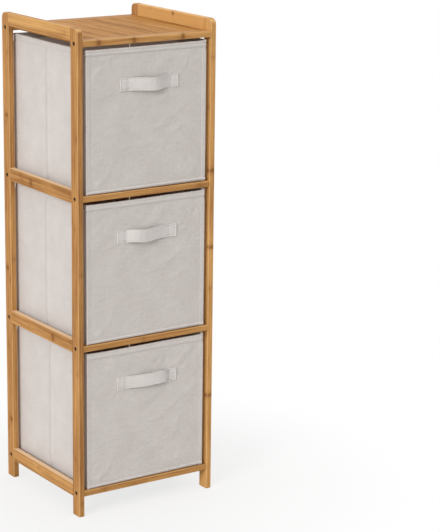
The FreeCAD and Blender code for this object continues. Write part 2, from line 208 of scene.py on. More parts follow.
def linear(red, green, blue):
    """A colour written as a screen shows it, 0 to 255, as the light it stands for."""
    parts = [c / 255 for c in (red, green, blue)]
    light = (c / 12.92 if c <= 0.04045 else ((c + 0.055) / 1.055) ** 2.4 for c in parts)
    return (*light, 1.0)


print("white is", linear(255, 255, 255))

# %% [markdown]
# ## Floor, lamps and background
#
# The shelf stands in a bright white studio. A sun lamp with a wide angle is
# as soft as a large softbox and lights the shelf evenly from top to foot,
# which an area lamp close by would not. The key comes from the left and stands
# low, so the left side is brighter than the front and a rail throws hardly any
# shadow on the cloth under it. A wider one lights the top, and a weak one from
# behind on the right keeps the far sides readable.
#
# The white around the shelf isn't made with more light, which would bleach
# the cloth. The Light Path node knows which rays come from the camera, and
# only those see the world and the far floor as white.

# %% World and lamps
SKY = 0.55
world = bpy.data.worlds.new("studio")
bpy.context.scene.world = world
world.use_nodes = True
links, nodes = world.node_tree.links, world.node_tree.nodes
nodes.clear()
rays = nodes.new("ShaderNodeLightPath").outputs
shown = rays["Is Camera Ray"]
for kind in ("Is Glossy Ray", "Is Transmission Ray"):
    either = nodes.new("ShaderNodeMath")
    either.operation, either.use_clamp = "ADD", True
    links.new(shown, either.inputs[0])
    links.new(rays[kind], either.inputs[1])
    shown = either.outputs[0]
strength = nodes.new("ShaderNodeMapRange")
strength.inputs["To Min"].default_value = SKY
strength.inputs["To Max"].default_value = 1.0
links.new(shown, strength.inputs["Value"])
sky = nodes.new("ShaderNodeBackground")
links.new(strength.outputs[0], sky.inputs["Strength"])
sky.inputs["Color"].default_value = (1, 1, 1, 1)
links.new(sky.outputs[0], nodes.new("ShaderNodeOutputWorld").inputs[0])


def sun(name, toward, power, spread):
    """A soft lamp far off that shines along the direction from toward to the shelf."""
    lamp = bpy.data.objects.new(name, bpy.data.lights.new(name, "SUN"))
    bpy.context.scene.collection.objects.link(lamp)
    lamp.data.energy, lamp.data.angle = power, math.radians(spread)
    lamp.rotation_mode = "QUATERNION"
    lamp.rotation_quaternion = Vector(toward).to_track_quat("Z", "Y")


sun("key", (-0.845, -0.370, 0.385), 1.78, 24)
sun("ceiling", (-0.10, -0.30, 0.95), 0.75, 60)
sun("far_side", (0.75, 0.60, 0.45), 0.7, 60)
bpy.context.scene.view_settings.view_transform = "Standard"

# %% Floor
FLOOR_RADIUS, FLOOR_SIDES = 9.0, 96
WHITE_FROM, WHITE_AT, WHITE_NEAR = 0.22, 0.70, 0.76
angles = [i * math.tau / FLOOR_SIDES for i in range(FLOOR_SIDES)]
rim = [(FLOOR_RADIUS * math.cos(a), FLOOR_RADIUS * math.sin(a), 0.0) for a in angles]
floor_mesh = bpy.data.meshes.new("floor")
floor_mesh.from_pydata(rim, [], [list(range(FLOOR_SIDES))])
floor = bpy.data.objects.new("floor", floor_mesh)
bpy.context.scene.collection.objects.link(floor)
floor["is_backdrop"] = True

paper = Finish("floor_paper", Base_Color=linear(214, 213, 211), Roughness=0.9)
far = paper.node("VectorMath", {"operation": "LENGTH"}, {0: paper.place()}, out=1)
path = paper.node("LightPath").link.node.outputs
to_eye = Socket(paper, path["Is Camera Ray"]) + Socket(paper, path["Is Glossy Ray"])
white = (WHITE_NEAR + (1 - WHITE_NEAR) * far.step(WHITE_FROM, WHITE_AT)) * to_eye
glow = paper.node("Emission", None, {"Color": (1, 1, 1, 1), "Strength": 1.0})
both = paper.node("MixShader", None, {0: white, 2: glow})
paper.tree.links.new(paper.shader.outputs[0], both.link.node.inputs[1])
surface_out = next(n for n in paper.tree.nodes if n.type == "OUTPUT_MATERIAL")
paper.tree.links.new(both.link, surface_out.inputs["Surface"])
floor_mesh.materials.append(paper.material)
print("floor", FLOOR_RADIUS, "m")

# %% [markdown]
# ## Bamboo
#
# Bamboo timber is glued up from narrow lengths of split cane, so a face shows
# strips that differ a little in colour, each with fine straight fibres. Every
# strip crosses a node of the cane now and then, which leaves a short dark
# band. The fibres are solid noise stretched along the grain: it runs through
# the timber, so an end shows dots where a face shows lines. Strips come from
# rounding the place across the grain down to a whole number, which also picks
# each strip's own tone. Planed edges are where the surface faces between two
# axes, and there the wood shows lighter: partly thin varnish, and partly a
# painted highlight for the light that a rounded edge catches. The side rails'
# upper faces are painted paler still, a painted highlight of light from above,
# and the edge on their inner side is painted dark, as painted shade of the slot
# beside the cloth.

# %% Bamboo finish
NODE_APART = 0.47  # from one band of a cane to the next, in metres
PALE, MID, DEEP = linear(209, 160, 98), linear(181, 131, 76), linear(144, 96, 50)
BURNT, EDGE_WEAR_AND_HIGHLIGHT = linear(112, 68, 32), linear(230, 190, 136)
SLAT_TONES = (linear(144, 95, 44), linear(182, 130, 68), linear(209, 158, 90))
PLANK = {"strip": 0.0087, "joints": 0.16, "edge": (EDGE_WEAR_AND_HIGHLIGHT, 0.45), "gloss": 0.12}
SLAT = {"strip": 0.0073, "joints": 0.30, "edge": (BURNT, 0.75), "gloss": 0.04}
PLANK["tones"], SLAT["tones"] = (DEEP, MID, PALE), SLAT_TONES


def bamboo(name, along, seed, layers, tone, kind, nodes_at=(), inner=0):
    """Varnished bamboo with its fibres along one axis, as a PLANK or a SLAT has it.
    seed shifts the pattern and layers says across which of the other two axes the
    strips lie side by side. nodes_at lists the bands seen in the picture, each with
    its place along the piece, its place across it and half its length across.
    inner, 1 or -1, is the way along X to a side rail's inner edge, which is painted dark as
    shade."""
    f = Finish(name, Specular_IOR_Level=kind["gloss"])
    x, y, z = f.axes(f.place())
    first, second, grain = {"X": (y, z, x), "Y": (x, z, y), "Z": (x, y, z)}[along]
    across = second if layers == "second" else first

    count = across / kind["strip"] + (100.5 + seed)
    joint = abs(count.math("FRACT") - 0.5).step(0.465, 0.497)
    chance = f.node("TexWhiteNoise", {"noise_dimensions": "1D"}, {"W": count.math("FLOOR")})

    bend = f.noise(f.vector(first * 25, second * 25, grain * 7), 1.0)
    aside = bend * 0.0022
    stretched = f.vector(first + aside, second + aside + seed, grain * 0.016)
    fibres = f.noise(stretched, 1100.0, 3.0, 0.65)
    streaks = f.noise(stretched, 330.0, 3.0, 0.6)
    clouds = f.noise(f.vector(first, second + seed, grain * 0.22), 30.0, 2.0)

    turn_of = (grain / NODE_APART + chance * 5.7 + seed * 0.61).math("FRACT")
    from_ring = abs(turn_of - 0.5 + (streaks - 0.5) * 0.012) * NODE_APART
    ring = (1 - from_ring.step(0.0006, 0.0046)) * 0.30
    halo = (1 - from_ring.step(0.002, 0.018)) * 0.6
    for where, beside, half in nodes_at:
        gap = abs(grain - where + (bend - 0.5) * 0.006)
        inside = 1 - abs(across - beside).step(half * 0.35, half * 1.25)
        ring = ring.math("MAXIMUM", (1 - gap.step(0.0008, 0.0066)) * inside * 0.9)
        halo = halo.math("MAXIMUM", (1 - gap.step(0.003, 0.017)) * inside)

    mixed = fibres * 0.42 + streaks * 0.40 + clouds * 0.18
    colour = f.node(
        "ValToRGB",
        {"stops": list(zip((0.37, 0.50, 0.63), kind["tones"]))},
        {0: mixed + (chance - 0.5) * 0.09 + (tone - 1.0) - halo * 0.05},
    )
    colour = f.mix(ring * 0.72, colour, BURNT)
    colour = f.mix(joint * kind["joints"], colour, linear(120, 76, 40))

    to_axis = f.node("VectorMath", {"operation": "ABSOLUTE"}, {0: f.facing()})
    nx, ny, nz = f.axes(to_axis)
    arris = 1 - nx.math("MAXIMUM", ny).math("MAXIMUM", nz)
    # Plank edges get a painted highlight, partly edge wear; slat edges get dark joint lines.
    tint, share = kind["edge"]
    colour = f.mix(arris.step(0.01, 0.16) * share, colour, tint)
    if inner:
        # The rail's top face is painted paler: a painted highlight of the light from above.
        colour = f.mix(nz.step(0.80, 0.97) * 0.75, colour, linear(240, 208, 172))
        # The inner top edge is painted dark: painted shade of the slot between rail and cloth.
        inwards = f.axes(f.facing())[0] * inner
        painted_slot_shade = inwards.step(0.10, 0.40) * nz.step(0.05, 0.30) * 0.85
        colour = f.mix(painted_slot_shade, colour, linear(104, 68, 40))
    end = {"X": nx, "Y": ny, "Z": nz}[along].step(0.85, 0.95)
    colour = f.mix(end * 0.25, colour, linear(128, 84, 46))

    height = fibres * 0.5 + streaks * 0.5 - joint * 0.5 - ring * 0.5
    f.feed(
        Base_Color=colour,
        Roughness=0.52 + fibres * 0.16 + ring * 0.1,
        Normal=f.bump(height, 0.35, 0.0003),
    )
    return f.material


def dress(node, material):
    """Gives a CAD node's object a finish in every slot that its mesh has."""
    mesh = NODES[node].data
    if not mesh.materials:
        mesh.materials.append(material)
    for slot in range(len(mesh.materials)):
        mesh.materials[slot] = material


# %% Timber finishes
SEEN_NODES = {
    "cross_rail_front_1": [
        (-0.110, -0.143, 0.008), (-0.032, -0.143, 0.004), (0.080, -0.143, 0.008),
    ],
    "top_board_right": [(-0.004, 0.974, 0.006)],
    "side_rail_left_1": [(0.041, 0.649, 0.009)],
    "side_rail_left_2": [(-0.041, 0.350, 0.009)],
    "post_back_left": [(0.772, 0.139, 0.007), (0.454, 0.144, 0.007), (0.129, 0.136, 0.007)],
    "post_front_right": [
        (0.674, -0.140, 0.008), (0.518, -0.143, 0.008), (0.203, -0.139, 0.008),
    ],
}
# These pieces are made lighter than the rest: painted light where more light falls on them.
PAINTED_LIGHT_TONES = {"top_board_right": 1.15, "top_board_left": 1.06, "post_front_right": 1.09}
INNER_WAY = {"side_rail_left": 1, "side_rail_right": -1}

order = random.Random(7)
timber = [n for n in NODES if n.startswith(("post_", "side_rail_", "cross_rail_", "top_"))]
for node in sorted(timber):
    low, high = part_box(node)
    size = high - low
    slat = node.startswith("top_slat")
    seed = round(order.uniform(0, 9), 2)
    # The slats are a little darker: painted shade that takes back some of the light on the top.
    usual = order.uniform(0.955, 1.005) - (0.010 if slat else 0.0)
    finish = bamboo(
        "bamboo_" + node,
        along="XYZ"[max(range(3), key=lambda i: size[i])],
        seed=seed,
        layers="first" if slat or node.startswith("cross") else "second",
        tone=PAINTED_LIGHT_TONES.get(node, usual),
        kind=SLAT if slat else PLANK,
        nodes_at=SEEN_NODES.get(node, ()),
        inner=INNER_WAY.get(node[:-2], 0),
    )
    dress(node, finish)
print("timber pieces", len(timber))

# %% [markdown]
# ## Steel screws and beech dowels
#
# The screws sit below the face of the posts, so only their heads show, dark
# in the holes. Their steel is coloured nearly black, which paints in the shade
# of the holes, and noise breaks up the roughness where the driver has scratched
# it. The dowels lie inside the joints and are plain beech.

# %% Screw and dowel finishes
# nearly black: painted shade of the holes that the heads sit in
steel = Finish("screw_steel", Metallic=1.0, Base_Color=linear(70, 58, 48))
grit = steel.noise(steel.place(), 2600.0, 2.0)
steel.feed(Roughness=0.42 + grit * 0.25, Normal=steel.bump(grit, 0.2, 0.0001))
dress("frame_screws", steel.material)

beech = Finish("dowel_beech", Roughness=0.6)
ALONG_DOWEL = (90, 1400, 1400)
longer = {0: beech.place(), 1: ALONG_DOWEL}
drawn_out = beech.node("VectorMath", {"operation": "MULTIPLY"}, longer)
beech_lines = beech.noise(drawn_out, 1.0, 3.0)
beech.feed(
    Base_Color=beech.mix(beech_lines, linear(205, 170, 124), linear(226, 196, 154)),
    Normal=beech.bump(beech_lines, 0.2, 0.0002),
)
dress("side_dowels", beech.material)
print("hardware", NODES["frame_screws"].name, NODES["side_dowels"].name)

# %% [markdown]
# ## Basket cloth
#
# The baskets are sewn from a stiff, light grey canvas. The weave is far finer
# than a pixel of the picture, but its slubs show as faint level and upright
# lines, so both are there. Every cloth piece carries a map, in metres of
# cloth, that runs across its panels as the cloth was cut. The pattern reads
# that map, and so it turns each corner with the cloth.
#
# A crease is given a thin darker line along it, which is painted shade, so the
# cover's finish is told where its creases are, and each basket has its own.
#
# The boards end short of the corners, and light comes through the two layers
# of cloth there, as a pale line inside each corner. A translucent shader would
# show it too, but it can't be saved with a plain model. So a faint glow along
# four lines of the lining's map paints this light, and the top basket's lining,
# under open slats, is given a weak glow all over, the others a trace.

# %% Cloth finish
THREAD = 0.00055  # from one thread to the next, in metres


def canvas(name, colour, shade, thread=THREAD, slub=1.0, folds=1.0, **places):
    """Plain-woven cloth. colour is its usual tone and shade that of its hollows.
    slub and folds are the strength of its uneven threads and of its soft folds.
    places may hold creases, where on the map a line of shade is painted, seams,
    where the cloth glows as painted light, and through, the faint glow given to the
    rest of the cloth."""
    f = Finish(name, Sheen_Weight=0.15, Sheen_Roughness=0.5, Specular_IOR_Level=0.25)
    u, v, _ = f.axes(f.node("UVMap", {"uv_map": "cloth"}))
    weave = (u * (math.tau / thread)).math("SINE") * (v * (math.tau / thread)).math("SINE")
    level = f.noise(f.vector(u * 40, v * 1300), 1.0, 3.0)
    upright = f.noise(f.vector(u * 1300, v * 40), 1.0, 3.0)
    lines = (level + upright) * (0.5 * slub)
    cloud = f.noise(f.vector(u, v), 20.0, 3.0, 0.6)
    slack = f.noise(f.vector(u, v * 1.6), 42.0, 2.0, 0.5)
    crinkle = f.noise(f.vector(u + slack * 0.03, v * 1.5), 120.0, 2.0, 0.5)
    fold = 1 - abs(slack - 0.5) * 4
    share = lines * 0.6 + cloud * 0.35 + weave * 0.05 + (0.30 - 0.30 * slub)
    tone = f.mix(share.step(0.28, 0.68), shade, colour)
    for crease in places.get("creases", ()):
        # painted shade along the crease's line
        painted_crease_shade = 1 - abs(u - crease).step(0.0006, 0.0050)
        tone = f.mix(painted_crease_shade * 0.19, tone, linear(146, 138, 133))
    height = weave * 0.04 + lines * 0.10 + (fold * 0.55 + crinkle * 0.45) * folds
    f.feed(
        Base_Color=tone,
        Roughness=0.86 + lines * 0.12,
        Normal=f.bump(height, 0.5, 0.0016),
    )
    if "seams" in places:
        near = 0.0
        for seam in places["seams"]:
            beside = 1 - abs(u - seam).step(0.0005, 0.0019)
            near = beside.math("MAXIMUM", near)
        # the seams glow as painted light, and the rest of the lining glows a little less
        f.feed(Emission_Color=f.mix(near, places["through"], linear(158, 144, 126)))
        f.shader.inputs["Emission Strength"].default_value = 1.0
    return f.material


HANDLE = canvas(
    "handle_webbing", linear(217, 212, 208), linear(203, 198, 193), thread=0.0009, folds=0.4
)
TAPE = canvas(
    "rim_tape_cloth", linear(210, 204, 200), linear(196, 189, 184), thread=0.0007, folds=0.5
)
INSERT = canvas("insert_cloth", linear(207, 201, 197), linear(192, 186, 181), folds=0.8)

LINING_CORNER = 0.004
low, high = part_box("basket_1_lining")
wide, deep = high.x - low.x - 2 * LINING_CORNER, high.y - low.y - 2 * LINING_CORNER
quarter = LINING_CORNER * math.pi / 2
SEAMS = [
    quarter * (i + 0.5) + deep * (1 + i // 2) + wide * ((i + 1) // 2) for i in range(4)
]
PAINTED_GLOW = {1: (0.045, 0.034, 0.029, 1), 2: (0.006, 0.001, 0, 1), 3: (0.006, 0.001, 0, 1)}
THIN = {"slub": 0.6, "folds": 1.2, "seams": SEAMS}
# The lining is a little lighter than the cover: painted light for its shaded inside.
LINING_TONES = linear(219, 213, 208), linear(207, 200, 195)
LININGS = {
    k: canvas(f"lining_cloth_{k}", *LINING_TONES, **THIN, through=light)
    for k, light in PAINTED_GLOW.items()
}
print("cloth finishes", HANDLE.name, TAPE.name, LININGS[1].name, INSERT.name)

# %% [markdown]
# ## Walls that go round
#
# The cover, the lining and the rim tape all run round the same rounded
# rectangle. One class walks round it and keeps each column's place, its outward
# direction and how much cloth lies behind it. Columns are close together at
# the corners and at the creases, where the shape changes fast, and wide apart
# on the flat panels. Rings of these columns are then joined into faces, and
# shrinking rings close a floor.

# %% Walk round the basket
SIDES = ("front", "back", "left", "right")
CORNER_STEPS = 8
SEAM_COLUMNS = (0.0075, 0.0085, 0.0095, 0.0100, 0.0105, 0.0115)  # in from each edge


class Walk:
    """Columns round a rounded rectangle, starting at the front of its right side.
    extra holds more places along the sides that it names."""

    def __init__(self, low, high, radius, pitch, extra=None):
        (x0, y0), (x1, y1) = low, high
        mid = ((x0 + x1) / 2, (y0 + y1) / 2)
        half = ((x1 - x0) / 2, (y1 - y0) / 2)
        sides = [
            ("right", (1, 0), (0, 1), half[1], half[0]),
            ("back", (0, 1), (-1, 0), half[0], half[1]),
            ("left", (-1, 0), (0, -1), half[1], half[0]),
            ("front", (0, -1), (1, 0), half[0], half[1]),
        ]
        columns, run = [], 0.0
        for name, normal, course, reach, depth in sides:
            straight = reach - radius
            even = np.linspace(-straight, straight, max(2, round(2 * straight / pitch)) + 1)
            seams = [sign * (reach - d) for sign in (-1, 1) for d in SEAM_COLUMNS]
            for s in sorted({round(s, 6) for s in (*even, *(extra or {}).get(name, ()), *seams)}):
                at = [mid[i] + normal[i] * depth + course[i] * s for i in (0, 1)]
                columns.append((at, normal, run + s + straight, name, s))
            run += 2 * straight
            inset = depth - radius
            hub = [mid[i] + normal[i] * inset + course[i] * straight for i in (0, 1)]
            for step in range(1, CORNER_STEPS):
                a = step / CORNER_STEPS * math.pi / 2
                aim = [normal[i] * math.cos(a) + course[i] * math.sin(a) for i in (0, 1)]
                at = [hub[i] + aim[i] * radius for i in (0, 1)]
                columns.append((at, aim, run + a * radius, "corner", (a - math.pi / 4) * radius))
            run += radius * math.pi / 2
        place, out, cloth, side, along = zip(*columns)
        self.place, self.out = np.array(place), np.array(out, float)
        self.cloth, self.length = np.array(cloth), run
        self.side, self.along = np.array(side), np.array(along)
        self.reach = {name: reach for name, _, _, reach, _ in sides}
        self.count = len(self.cloth)

    def panels(self):
        """Each flat side: its name, its columns, its half width and their places on it."""
        for name in SIDES:
            here = self.side == name
            yield name, here, self.reach[name], self.along[None, here]


print("walk", Walk((-0.137, -0.14), (0.137, 0.142), 0.006, 0.005).count, "columns")

# %% From rings to a piece of cloth
def smooth_object(name, points, faces, material):
    """A smooth mesh, linked to the scene."""
    mesh = bpy.data.meshes.new(name)
    mesh.from_pydata([tuple(p) for p in points], [], [tuple(face) for face in faces])
    mesh.materials.append(material)
    mesh.polygons.foreach_set("use_smooth", [True] * len(mesh.polygons))
    made = bpy.data.objects.new(name, mesh)
    bpy.context.scene.collection.objects.link(made)
    return made


def cloth_object(name, points, faces, material, thick=0.0):
    """A piece of cloth. Each of its faces comes with the map's value at each corner,
    and thick is what a Solidify modifier adds on its inner side."""
    made = smooth_object(name, points, [face for face, _ in faces], material)
    layer = made.data.uv_layers.new(name="cloth")
    flat = [uv for _, corners in faces for uv in corners]
    layer.data.foreach_set("uv", np.array(flat, np.float32).ravel())
    if thick:
        shell = made.modifiers.new("thickness", "SOLIDIFY")
        shell.thickness, shell.offset, shell.use_even_offset = thick, -1.0, False
    return made


def ring_faces(walk, rows, v, flip=False):
    """The faces between rings, with the cloth map at their corners. rows says where
    each ring starts among the points, and v how far up the cloth it is."""
    faces = []
    for near, far, v0, v1 in zip(rows, rows[1:], v, v[1:]):
        for c in range(walk.count):
            d = (c + 1) % walk.count
            u0, u1 = walk.cloth[c], walk.cloth[d] if d else walk.length
            quad = (near + c, near + d, far + d, far + c)
            corners = [(u0, v0), (u1, v0), (u1, v1), (u0, v1)]
            if flip:
                quad, corners = quad[::-1], corners[::-1]
            faces.append((quad, corners))
    return faces


def ring_starts(walk, rings):
    return [r * walk.count for r in range(rings)]


def level_map(points, face):
    """The cloth map of a face that lies level: its own X and Y."""
    return [tuple(points[i][:2]) for i in face]


def levels(close, start, stop, pitch, top):
    """Heights of rows: some close ones, then evenly from start to stop, and the top."""
    even = {round(x, 5) for x in np.arange(start, stop, pitch)}
    return np.array(sorted(set(close) | even | {top}))


def wall_points(walk, off, z):
    """Points round the walk at heights z, moved outwards by off."""
    points = np.empty((*off.shape, 3))
    points[:, :, :2] = walk.place + walk.out * off[:, :, None]
    points[:, :, 2] = z
    return points.reshape(-1, 3)


def shrunk(ring, mid, share):
    """A ring drawn in towards the middle, at its own height."""
    small = ring.copy()
    small[:, :2] = mid[:2] + (ring[:, :2] - mid[:2]) * share
    return small


def add_floor(points, faces, rings, down):
    """Closes the first ring with the smaller rings and a cap, facing down or up."""
    columns = len(rings[0])
    rows = [0] + [len(points) + i * columns for i in range(len(rings))]
    points = np.concatenate([points, *rings])
    for near, far in zip(rows, rows[1:]):
        for c in range(columns):
            d = (c + 1) % columns
            a, b = (d, c) if down else (c, d)
            quad = (near + a, near + b, far + b, far + a)
            faces.append((quad, level_map(points, quad)))
    cap = tuple(range(rows[-1], rows[-1] + columns))
    cap = cap[::-1] if down else cap
    faces.append((cap, level_map(points, cap)))
    return points


print("a wall 0.28 m high has", len(levels([0], 0.01, 0.277, 0.006, 0.28)), "rows")

# %% [markdown]
# ## Where the cloth leaves its flat panel
#
# Stiff canvas over board lies nearly flat, and what shows is small: a doubled
# hem along the foot, the turned seams beside each upright edge, one pressed
# crease down the middle of each side where the basket folds flat for posting,
# and slack cloth in soft, slanting wrinkles on the front. A cloth simulation
# would have to find all of these by chance. Each is a known line on a known
# panel, so it is written as a height over the panel, in metres, and added up.
#
# The baskets differ. The top one is sewn crisply and the bottom one softly, so
# one number for each scales its seams, its hem and its tape.

# %% Heights of hems, creases and wrinkles
HEM_HIGH, HEM_PROUD = 0.0058, 0.0015
RELIEF = {1: 1.0, 2: 0.6, 3: 0.35}  # how crisp each basket's seams are


def bell(x, width):
    return np.exp(-((x / width) ** 2))


def ease(x, low, high):
    t = np.clip((x - low) / (high - low), 0, 1)
    return t * t * (3 - 2 * t)


def wrinkles(seed, count, wide, tall, long, width, proud):
    """Seeded ridges on a panel: where, which way, how long, how wide and how proud.
    Half of them are kept near the rim."""
    pick, made = random.Random(seed), []
    for _ in range(count):
        lowest = 0.62 if pick.random() < 0.5 else 0.04
        x, z = pick.uniform(-0.47, 0.47) * wide, tall * pick.uniform(lowest, 0.95)
        lean = math.radians(pick.choice((-1, 1)) * pick.uniform(5, 50))
        size = pick.uniform(*long), pick.uniform(*width)
        made.append((x, z, lean, *size, pick.choice((-1, 1)) * pick.uniform(0.5, 1.0) * proud))
    return made


def ridge_heights(ridges, s, z):
    """The height that ridges add up to, at s across a panel and z up it."""
    total = np.zeros(np.broadcast(s, z).shape)
    for x, at, lean, long, wide, proud in ridges:
        along = (s - x) * math.cos(lean) + (z - at) * math.sin(lean)
        off = (z - at) * math.cos(lean) - (s - x) * math.sin(lean)
        total += proud * bell(along, long) * bell(off - 0.25 * along**2 / long, wide)
    return total


def slow_waves(seed, s, z, height):
    """Long, shallow unevenness of a hand-filled panel."""
    pick, total = random.Random(seed), 0
    for _ in range(7):
        a, b = pick.uniform(15, 75), pick.uniform(15, 75)
        total = total + np.sin(a * s + pick.uniform(0, 6)) * np.sin(b * z + pick.uniform(0, 6))
    return total * height / 3.5


def pulls(k, tall):
    """Wrinkles with a cause: cloth drawn to the rim, the lower corners and the
    ends of the handle. The three fronts in the picture each have their own."""
    pick, made = random.Random(500 + k), []

    def ridge(x, z, lean, long, wide, proud):
        made.append((x, z, math.radians(lean), long, wide, proud))

    for x in (-0.104, -0.081, -0.062, -0.045, 0.018, 0.052, 0.083, 0.112):
        lean = pick.choice((-1, 1)) * pick.uniform(35, 70)
        x, z = x + pick.uniform(-8, 8) / 1000, tall - pick.uniform(0.020, 0.040)
        ridge(x, z, lean, pick.uniform(0.012, 0.022), 0.0042, pick.choice((-1, 1)) * 0.00050)
    for side in (-1, 1):
        for far in (0.022, 0.038, 0.058):
            proud = 0.00045 * (1 if far > 0.03 else -1)
            ridge(side * (0.137 - far * 0.75), far * 0.55, side * -52, far * 0.5, 0.0056, proud)
        for up in (-0.016, 0.0, 0.015):
            x = side * (0.080 + pick.uniform(0, 6) / 1000)
            proud = 0.00045 * pick.choice((-1, 1))
            ridge(x, 0.209 + up, side * up * 2200, 0.011, 0.0034, proud)
        ridge(side * 0.050, 0.231, side * pick.uniform(8, 30), 0.024, 0.0044, -0.00045)
    for x, z, lean, long in (
        (0.015, 0.164, 14, 0.045),
        (0.070, 0.150, 24, 0.040),
        (0.020, 0.128, 9, 0.050),
        (0.075, 0.112, 28, 0.035),
        (-0.010, 0.095, 12, 0.045),
    ):
        x, z = x + pick.uniform(-12, 12) / 1000, z + pick.uniform(-9, 9) / 1000
        ridge(x, z, lean, long * 0.7, 0.0058, 0.00050)
    return made


print("hem", HEM_HIGH, "m high")

# %% [markdown]
# ## The cover
#
# The cover is one skin of rings from the foot to the rim, closed below by a
# floor of shrinking rings. A Solidify modifier gives the canvas its
# thickness inwards, so the skin made here is exactly what the eye sees.

# %% Cloth, creases and corners of the cover
COVER_THICK, COVER_CORNER = 0.0010, 0.0025
CREASE_AT = {1: 0.0070, 2: 0.0145, 3: 0.0030}  # how far behind the middle


def crease_places(k):
    """Where the cover's map, which starts at the front of the right side, is creased."""
    low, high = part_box(f"basket_{k}_fabric")
    wide, deep = high.x - low.x - 2 * COVER_CORNER, high.y - low.y - 2 * COVER_CORNER
    return deep / 2 + CREASE_AT[k], 1.5 * deep + wide + COVER_CORNER * math.pi - CREASE_AT[k]


COVER_TONES = linear(209, 203, 199), linear(195, 188, 183)
CLOTHS = {
    k: canvas(f"basket_canvas_{k}", *COVER_TONES, creases=crease_places(k)) for k in (1, 2, 3)
}


def flare(walk, proud):
    """The boards end short of the back corners, and the cloth swells there."""
    y = walk.place[:, 1]
    sideways = np.abs(walk.out[:, 0])
    return proud * sideways * (1 - ease(y.max() - y, 0.003, 0.034))


def foot_lift(walk, z):
    """The front hem stands a little clear of its rail, more so on the right."""
    x, y = walk.place.T
    across = 0.0004 + 0.0018 * ease(x, x.min(), x.max())
    front = 1 - ease(y - y.min(), 0.004, 0.050)
    return (across * front)[None, :] * (1 - ease(z[:, None], 0.0, 0.040))


# %% Heights of the cover
TAPE_FROM_TOP = 0.0115  # below this the cover shows


def panel_heights(name, s, z, reach, tall, k):
    """A panel's bulge, waves and wrinkles, and on the sides its pressed crease."""
    face, seed = name in ("front", "back"), k * 100 + SIDES.index(name) * 10
    many, few = (55, 12) if face else (8, 4)
    bulge = 0.0011 * (1 - (s / reach) ** 2) * np.sin(np.pi * np.clip(z / tall, 0, 1))
    panel = bulge + slow_waves(seed, s, z, 0.0006 if face else 0.0003)
    size = (2 * reach, tall)
    ridges = wrinkles(seed + 1, few, *size, (0.03, 0.065), (0.007, 0.012), 0.00055)
    ridges += wrinkles(seed + 2, many, *size, (0.010, 0.028), (0.0038, 0.0062), 0.00028)
    if face:
        ridges += pulls(k if name == "front" else k + 7, tall)
        return panel + ridge_heights(ridges, s, z) * 1.35
    panel = panel + ridge_heights(ridges, s, z) * 0.3
    way = -1 if name == "left" else 1
    behind = (s - CREASE_AT[k] * way) * way
    fold = np.where(behind > 0, bell(behind, 0.0048), bell(behind, 0.0100))
    return panel * 0.6 + 0.0026 * fold


def sewn_heights(walk, z, tall, k):
    """The turned hem with the groove that its stitches pull, and the fine pucker
    beside hem and tape. Near a corner the hem isn't tucked under, since there the
    Solidify modifier would fold its inner side."""
    zz, run = z[:, None], walk.cloth[None, :]
    uneven = 1 + 0.25 * np.sin(run * 47 + k) + 0.2 * np.sin(run * 113 + 2 * k)
    soft = 0.35 + 0.5 * RELIEF[k]
    rolled = 1 - ease(zz, -0.0002, 0.0026)
    inset = [walk.reach.get(a, b) - b for a, b in zip(walk.side, np.abs(walk.along))]
    tucked = 0.7 * rolled * ease(np.array(inset), 0.0020, 0.0080)[None, :]
    hem = 1 - ease(zz, HEM_HIGH - 0.0012, HEM_HIGH + 0.0006)
    hem = hem * HEM_PROUD * ((1 - rolled) * soft - tucked)
    groove = -0.0006 * soft * uneven * bell(zz - HEM_HIGH - 0.0014, 0.0014)
    fine = 0.00016 * np.sin(run * 620 + 2 * np.sin(run * 90))
    faced = (1 - ease(np.abs(walk.out[:, 0]), 0.5, 1.0))[None, :]
    pucker = fine * (faced * bell(zz - 0.0095, 0.006) + bell(tall - zz - 0.017, 0.006))
    return (hem + groove) * faced, pucker


def column_heights(walk, z, tall, k):
    """How far each point of the cover stands off its plain panel."""
    zz, total = z[:, None], np.zeros((len(z), walk.count))
    below_rim = ease(tall - zz, TAPE_FROM_TOP, 0.017)
    for name, here, reach, s in walk.panels():
        edge = reach - np.abs(s)
        calm = ease(edge, 0.005, 0.024) * ease(zz, 0.004, 0.022)
        calm = calm * ease(tall - zz, TAPE_FROM_TOP, 0.021)
        step = 0.00030 * (1 - ease(edge, 0.0030 + 0.0060 * RELIEF[k], 0.0102))
        seam = step - 0.00040 * RELIEF[k] * bell(edge - 0.0103, 0.0008)
        panel = panel_heights(name, s, zz, reach, tall, k)
        total[:, here] = panel * calm + seam * below_rim
    corner = walk.side == "corner"
    piping = 0.00030 + 0.00060 * bell(walk.along[corner][None, :], 0.0013)
    total[:, corner] = piping * below_rim
    total = total + flare(walk, 0.0021)
    hem, pucker = sewn_heights(walk, z, tall, k)
    return total + hem + pucker


# %% Cover
FOOT_ROWS = (0.0, 0.0007, 0.0016, 0.0028, 0.0040, 0.0048, 0.0054, 0.0060, 0.0066, 0.0074, 0.0086)
FLOOR_SHARES = (0.985, 0.95, 0.9, 0.8, 0.68, 0.54, 0.38, 0.2, 0.05)
BY_CREASE = np.linspace(-0.0165, 0.0165, 23)  # columns on both sides of a crease


